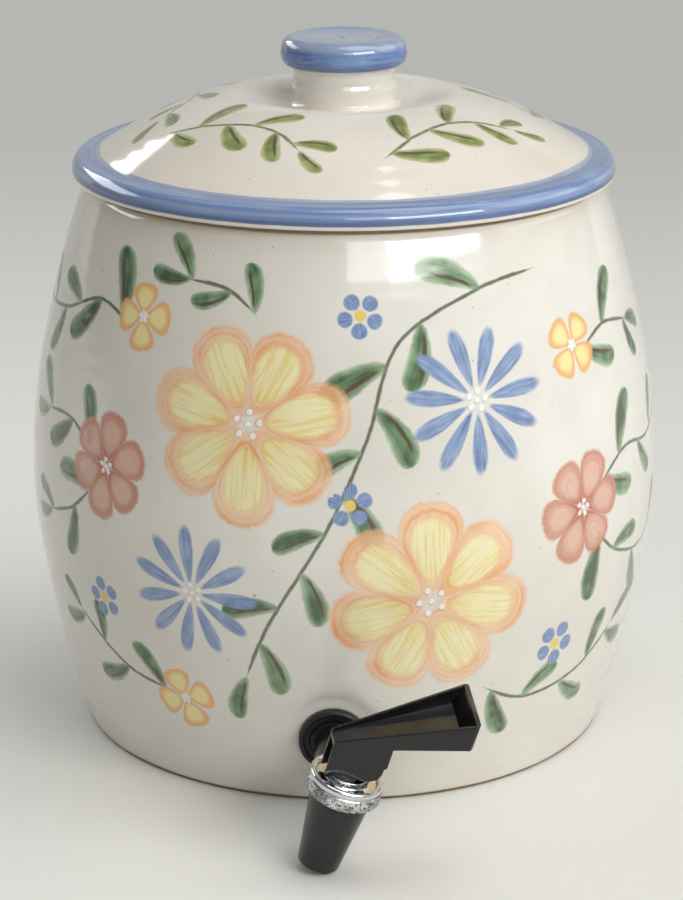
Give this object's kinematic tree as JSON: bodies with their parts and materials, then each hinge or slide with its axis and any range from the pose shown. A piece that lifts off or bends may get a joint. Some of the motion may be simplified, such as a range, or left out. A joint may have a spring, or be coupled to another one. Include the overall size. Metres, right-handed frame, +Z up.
{
  "type": "drink crock with lever tap",
  "caption": "Lidded stoneware drink crock with a barrel-shaped body, a domed lid with a disc knob, and a self-closing lever tap low on its front.",
  "frame": {"origin": "centre of the crock's flat base, on the surface that it stands on", "axes": "+Z up along the crock's axis, -Y towards the tap, +X to the right seen from the tap"},
  "size_m": [0.2788, 0.3414, 0.3057],
  "materials": {
    "glazed_stoneware": "glossy warm white glaze with painted flowers and leaves, bare clay at the foot",
    "glazed_lid": "glossy warm white glaze, blue rim band and blue knob, painted leaf sprigs",
    "tap_plastic": "near-black moulded plastic, glossy",
    "washer_rubber": "black rubber, satin",
    "nut_plastic": "black moulded plastic, satin",
    "bonnet_chrome": "bright chrome plate, pitted on its pebbled band",
    "cup_silicone": "translucent white silicone",
    "stem_plastic": "natural white plastic",
    "spring_steel": "bright stainless steel",
    "lever_plastic": "near-black moulded plastic, glossy, thin mould edges"
  },
  "bodies": {
    "crock": {"crock": "glazed_stoneware", "faucet_body": "tap_plastic", "outer_washer": "washer_rubber", "inner_washer": "washer_rubber", "lock_nut": "nut_plastic", "bonnet": "bonnet_chrome", "spring": "spring_steel", "spring_washer": "spring_steel"},
    "lid": {"lid": "glazed_lid"},
    "seat_cup": {"seat_cup": "cup_silicone"},
    "stem": {"stem": "stem_plastic", "lever_pin": "spring_steel"},
    "lever": {"lever": "lever_plastic"}
  },
  "joints": [
    {"name": "lid_lift", "type": "slide", "parent": "crock", "child": "lid", "axis": [0, 0, 1], "range_m": [0, 0.12]},
    {"name": "stem_lift", "type": "slide", "parent": "crock", "child": "seat_cup", "axis": [0.2756, -0.1338, 0.9519], "range_m": [0, 0.002], "deforming": ["spring", "seat_cup"]},
    {"name": "lever_swivel", "type": "hinge", "parent": "seat_cup", "child": "stem", "pos_m": [-0.0044, -0.18444, 0.02362], "axis": [0.2756, -0.1338, 0.9519], "continuous": true},
    {"name": "lever_press", "type": "hinge", "parent": "stem", "child": "lever", "pos_m": [0.00392, -0.18848, 0.05237], "axis": [-0.1271, 0.9765, 0.174], "range_deg": [0, 26], "stiffness_Nm_per_rad": 0.1, "springref_deg": -20.05}
  ],
  "couplings": [
    {"joint": "stem_lift", "follows": "lever_press", "m_per_rad": 0.0044074}
  ]
}
